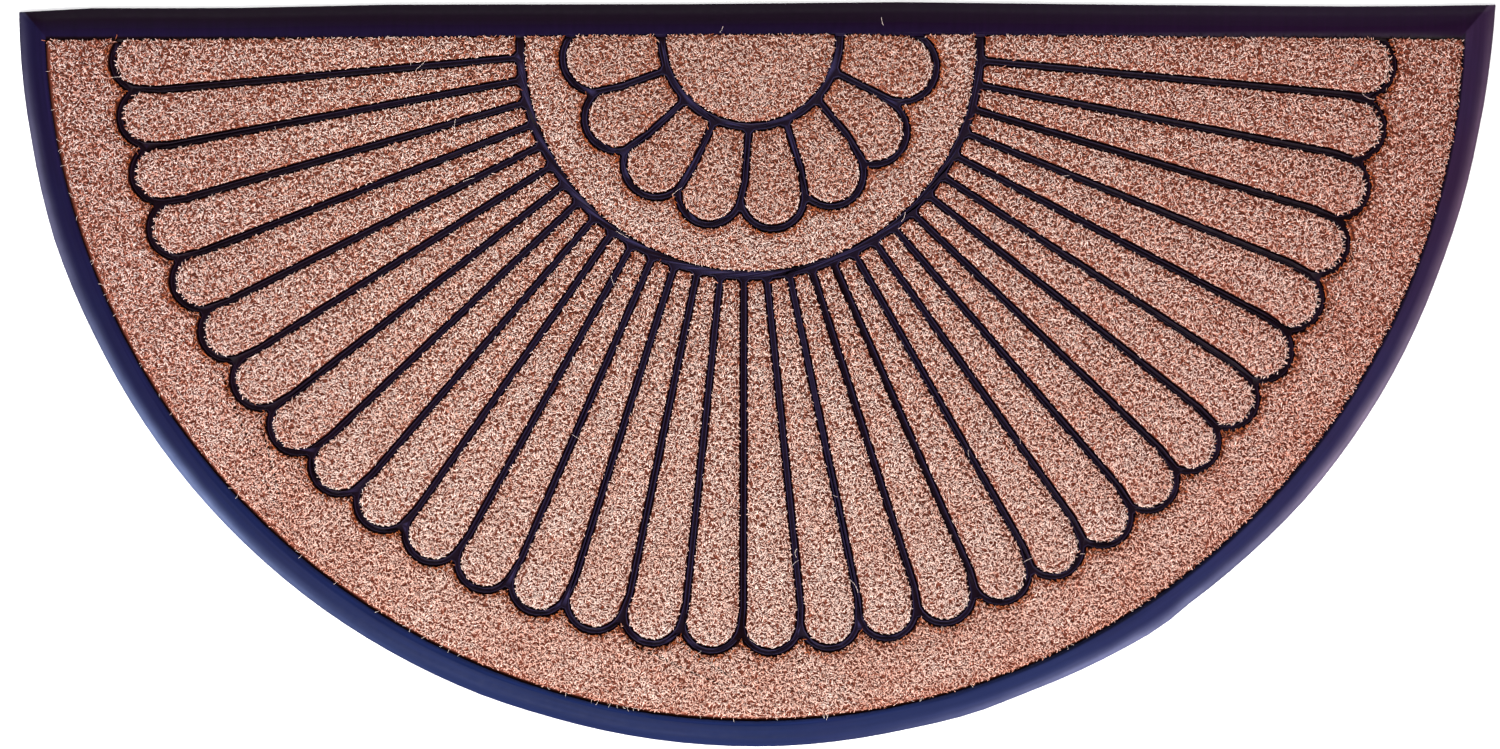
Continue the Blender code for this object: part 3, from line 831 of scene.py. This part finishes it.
def bristle_parts(name, rng, tables):
    """Bristles of one panel, each a slim sliver leaning its own way."""
    x, y, out_x, out_y, distance = roots_of(name, rng).T
    kinds = wall_kinds(name, x, y, out_x, out_y)
    shift = edge_shifts(x, kinds)
    room = np.array([EDGES[kind].room for kind in kinds]) - SHIFT_ROOM * np.maximum(shift, 0.0)
    kept = distance > np.maximum(room, LEAST_ROOM)
    x, y, out_x, out_y, distance = (part[kept] for part in (x, y, out_x, out_y, distance))
    kinds, shift = kinds[kept], shift[kept]
    count = len(x)
    panel = name.rstrip("_0123456789")
    reach, drop, push, tone_shift, rust_shift = (
        np.array([getattr(EDGES[kind], field) for kind in kinds])
        for field in ("reach", "drop", "push", "tone", "rust")
    )
    overhang = np.array([EDGES[kind].overhang for kind in kinds]).T
    overhang += np.where(kinds == "border", 0.0, OUTWARD_SHIFT * x * out_x) + shift
    push += SHIFT_PUSH * np.maximum(shift, 0.0)
    near = np.clip(1.0 - distance / reach, 0.0, 1.0)

    lean = np.radians(rng.triangular(*LEAN_DEGREES, count))
    turn = rng.uniform(0.0, 2.0 * np.pi, count)
    axis = np.stack([np.sin(lean) * np.cos(turn), np.sin(lean) * np.sin(turn), np.cos(lean)], 1)
    axis[:, 0] += push * near * out_x
    axis[:, 1] += push * near * out_y
    axis /= np.linalg.norm(axis, axis=1, keepdims=True)

    length = rng.uniform(*BRISTLE_LENGTH, count)
    root = np.stack([x, y, np.full(count, PAD_TOP - BRISTLE_SINK)], 1)
    ceiling = BRISTLE_TOP - drop * near**2
    length = np.minimum(length + BRISTLE_SINK, (ceiling - root[:, 2]) / axis[:, 2])
    tip = root + axis * length[:, None]
    past = (tip[:, 0] - x) * out_x + (tip[:, 1] - y) * out_y - distance
    excess = np.maximum(past - rng.triangular(*overhang, count), 0.0)
    tip[:, 0] -= out_x * excess
    tip[:, 1] -= out_y * excess

    rise = (tip[:, 2] - PAD_TOP) / (BRISTLE_TOP - PAD_TOP)
    spread, dark_share = (np.interp(y, FRONT_TO_BACK, pair) for pair in (TONE_SPREAD, DARK_SHARE))
    # The taller bristles are painted lighter, and by a wall the edge's tone paints shade, or light at
    # the round tips
    tone = rng.normal(TONE, spread) + RISE_LIGHT_TONE * (rise - USUAL_RISE) + tone_shift * near
    tone -= (rng.random(count) < dark_share) * rng.uniform(*DARK_DROP, count)
    tone += PANEL_TONE[panel]
    patches = [patchy(x, y, pitch, table) for (pitch, _), table in zip(PATCHES, tables)]
    tone += sum(patch * depth for patch, (_, depth) in zip(patches, PATCHES))
    steady, cloudy, least, speckle = RUST_MOTTLE
    mottle = (steady + cloudy * patches[0]) * (least + speckle * rng.random(count))
    # By the walls the rust is partly colour and partly painted shade
    near_rust = np.clip(1.0 - distance / (reach * RUST_REACH), 0.0, 1.0)
    rust = np.abs(rng.normal(0.0, RUST_SPREAD, count)) + rust_shift * near_rust * mottle
    rust += PANEL_RUST.get(panel, 0.0)
    width = rng.uniform(*BRISTLE_WIDTH, count)[:, None]
    return fibres(root, tip, width, rng, tone, rust, 0.0)


def rim_parts(name, rng):
    """Pale fibres lying along the inside of a panel's round end, as a painted highlight on the lit end.
    """
    shape = cad_shape(name)
    shape.normal_update()
    starts, alongs, inwards = [], [], []
    for face in shape.faces:
        middle = face.calc_center_median()
        away = (middle.xy - HUB).normalized()
        outward = face.normal.xy.dot(away)
        if abs(face.normal.z) > UPRIGHT or outward < TIP_FACING or face.normal.y > RIM_MOST_BACK:
            continue
        for edge in face.edges:
            if all(at_level(vert, SLAB_TOP) for vert in edge.verts):
                first, second = edge.verts[0].co.xy, edge.verts[1].co.xy
                span = second - first
                for number in range(round(span.length / RIM_PITCH)):
                    starts.append(first.lerp(second, number * RIM_PITCH / span.length))
                    alongs.append(span.normalized())
                    inwards.append(-face.normal.xy.normalized())
    shape.free()
    count = len(starts)
    groups = (starts, alongs, inwards)
    start, along, inward = (np.array([tuple(item) for item in group]) for group in groups)
    place = start + inward * rng.uniform(*RIM_PLACE, count)[:, None]
    turn = np.radians(rng.normal(0.0, RIM_TURN_DEGREES, count))
    way = along * np.cos(turn)[:, None] + inward * np.sin(turn)[:, None]
    half = way * rng.uniform(*RIM_LENGTH, count)[:, None] / 2.0
    heights = rng.uniform(*RIM_HEIGHT, (2, count))
    root = np.column_stack([place - half, heights[0]])
    tip = np.column_stack([place + half, heights[1]])
    return fibres(root, tip, RIM_WIDTH, rng, rng.normal(*RIM_HIGHLIGHT_TONE, count), np.zeros(count), 1.0)


def pad_parts(name):
    """The dense root layer of a panel: the CAD slab lowered to the roots, and lower at its edge, in
    painted shade.
    """
    shape = cad_shape(name)
    tops = faces_at(shape, SLAB_TOP)
    for vert in shape.verts:
        if at_level(vert, SLAB_TOP):
            vert.co.z = PAD_EDGE
    bmesh.ops.inset_region(
        shape,
        faces=tops,
        thickness=PAD_SLOPE_OUTER if name == "coir_outer" else PAD_SLOPE,
        depth=PAD_TOP - PAD_EDGE,
        use_even_offset=False,
        use_boundary=True,
    )
    bmesh.ops.triangulate(shape, faces=shape.faces[:])
    shape.verts.index_update()
    verts = np.array([vert.co[:] for vert in shape.verts])
    index = np.array([[vert.index for vert in face.verts] for face in shape.faces])
    shape.free()
    # The pad is painted in shade, darkest where it is lowered at its edge
    values = {
        "tone": np.full(len(verts), PAD_TONE),
        "rust": np.zeros(len(verts)),
        "rise": np.where(verts[:, 2] > PAD_TOP - LEVEL_MATCH, PAD_RISE, EDGE_RISE),
    }
    return verts, index, values


def joined_mesh(name, parts, material):
    """One mesh from several sets of points, triangles and point values."""
    mesh = bpy.data.meshes.new(name)
    verts = np.concatenate([part[0] for part in parts])
    starts = np.cumsum([0] + [len(part[0]) for part in parts])
    index = np.concatenate([part[1] + start for part, start in zip(parts, starts)])
    mesh.vertices.add(len(verts))
    mesh.vertices.foreach_set("co", verts.astype(np.float32).ravel())
    mesh.loops.add(index.size)
    mesh.loops.foreach_set("vertex_index", index.astype(np.int32).ravel())
    mesh.polygons.add(len(index))
    mesh.polygons.foreach_set("loop_start", np.arange(0, index.size, 3, dtype=np.int32))
    mesh.update(calc_edges=True)
    for key in parts[0][2]:
        values = np.concatenate([part[2][key] for part in parts]).astype(np.float32)
        mesh.attributes.new(key, "FLOAT", "POINT").data.foreach_set("value", values)
    mesh.materials.append(material)
    return mesh


def build_coir(material):
    rng = np.random.default_rng(SEED)
    tables = [rng.uniform(-1.0, 1.0, (PATCH_TABLE, PATCH_TABLE)) for _ in PATCHES]
    for name in sorted(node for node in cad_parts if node.startswith("coir_")):
        parts = [pad_parts(name), bristle_parts(name, rng, tables)]
        if name.startswith(("coir_ray", "coir_petal")):
            parts.append(rim_parts(name, rng))
        piece_name = name.replace("coir_", "pile_")
        placed_piece(piece_name, joined_mesh(piece_name, parts, material), "coir", name)


def spoke(bearing):
    """The direction at this bearing, clockwise from +X seen from above."""
    return Vector((math.cos(bearing), -math.sin(bearing)))


def random_strays(rng):
    """Loose fibres at random on the fan, and short hairs round the coir's outer edge."""
    found = []
    for _ in range(RANDOM_STRAYS):
        bearing = math.radians(rng.uniform(*RANDOM_BEARINGS))
        start = HUB + spoke(bearing) * rng.uniform(*RANDOM_REACH)
        heading, length = rng.uniform(0.0, 360.0), rng.uniform(*RANDOM_LENGTH)
        found.append(Stray(start.x, start.y, heading, length, rng.normal(0.0, RANDOM_BEND)))
    for _ in range(EDGE_HAIRS):
        bearing = math.radians(rng.uniform(*HAIR_BEARINGS))
        start = BORDER_CENTRE + spoke(bearing) * (BORDER_INSIDE - HAIR_INSET)
        heading = -math.degrees(bearing) + rng.normal(0.0, HAIR_TURN)
        length = rng.uniform(*HAIR_LENGTH)
        found.append(Stray(start.x, start.y, heading, length, rng.normal(0.0, HAIR_BEND)))
    return found


def build_strays(material):
    """Loose pale fibres, each a chain of slim slivers lying on the pile and the ribs."""
    rng = np.random.default_rng(SEED + 1)
    roots, tips = [], []
    for stray in STRAYS + tuple(random_strays(rng)):
        heading = math.radians(stray.heading - stray.bend / 2.0)
        place = np.array([stray.x, stray.y, STRAY_HEIGHT - STRAY_SINK])
        for number in range(STRAY_PIECES):
            heading += math.radians(stray.bend) / STRAY_PIECES
            step = stray.length / STRAY_PIECES
            rise = STRAY_SINK * math.sin(math.pi * (number + 1) / STRAY_PIECES)
            ahead = np.array(
                [
                    place[0] + step * math.cos(heading),
                    place[1] + step * math.sin(heading),
                    STRAY_HEIGHT - STRAY_SINK + rise,
                ]
            )
            roots.append(place)
            tips.append(ahead + (ahead - place) * STRAY_OVERLAP)
            place = ahead
    count = len(roots)
    tone = np.full(count, STRAY_TONE)
    part = fibres(np.array(roots), np.array(tips), STRAY_WIDTH, rng, tone, np.zeros(count), 1.0)
    placed_piece("stray_fibres", joined_mesh("stray_fibres", [part], material), "coir")


def build_floor():
    shape = bmesh.new()
    bmesh.ops.create_grid(shape, x_segments=1, y_segments=1, size=FLOOR_HALF)
    mesh = bpy.data.meshes.new("floor")
    shape.to_mesh(mesh)
    shape.free()
    material, _, shader = new_material("floor")
    shader.inputs["Base Color"].default_value = FLOOR_COLOUR
    shader.inputs["Roughness"].default_value = FLOOR_ROUGHNESS
    shader.inputs["Specular IOR Level"].default_value = FLOOR_SPECULAR
    mesh.materials.append(material)
    floor = bpy.data.objects.new("floor", mesh)
    bpy.context.scene.collection.objects.link(floor)


def aim(thing, place, target):
    thing.location = place
    thing.rotation_euler = (Vector(target) - Vector(place)).to_track_quat("-Z", "Y").to_euler()


def build_lights():
    for lamp in LAMPS:
        light = bpy.data.lights.new(lamp.name, "AREA")
        light.shape = "RECTANGLE"
        light.size, light.size_y = lamp.width, lamp.height
        light.energy = lamp.watts
        light.color = lamp.colour
        thing = bpy.data.objects.new(lamp.name, light)
        bpy.context.scene.collection.objects.link(thing)
        aim(thing, lamp.place, lamp.aim)
    world = bpy.data.worlds.new("studio")
    world.use_nodes = True
    tree = world.node_tree
    split = tree.nodes.new("ShaderNodeSeparateXYZ")
    tree.links.new(tree.nodes.new("ShaderNodeTexCoord").outputs["Generated"], split.inputs[0])
    sky = mixed(tree, remapped(tree, split.outputs["Z"], 0.0, ZENITH_HEIGHT), HORIZON, ZENITH)
    tree.links.new(sky, tree.nodes["Background"].inputs["Color"])
    bpy.context.scene.world = world
    bpy.context.scene.view_settings.view_transform = "Standard"


def build_camera():
    data = bpy.data.cameras.new("camera")
    data.sensor_width = CAMERA_SENSOR
    data.lens = CAMERA_SENSOR * (CAMERA_HEIGHT - FOCUS_LEVEL) / (FRAME_WIDTH_PX * METRES_PER_PX)
    camera = bpy.data.objects.new("camera", data)
    camera.location = (VIEW_CENTRE.x, VIEW_CENTRE.y, CAMERA_HEIGHT)
    bpy.context.scene.collection.objects.link(camera)
    bpy.context.scene.camera = camera


build_rubber(rubber_material())
coir = coir_material()
build_coir(coir)
build_strays(coir)
build_floor()
build_lights()
build_camera()
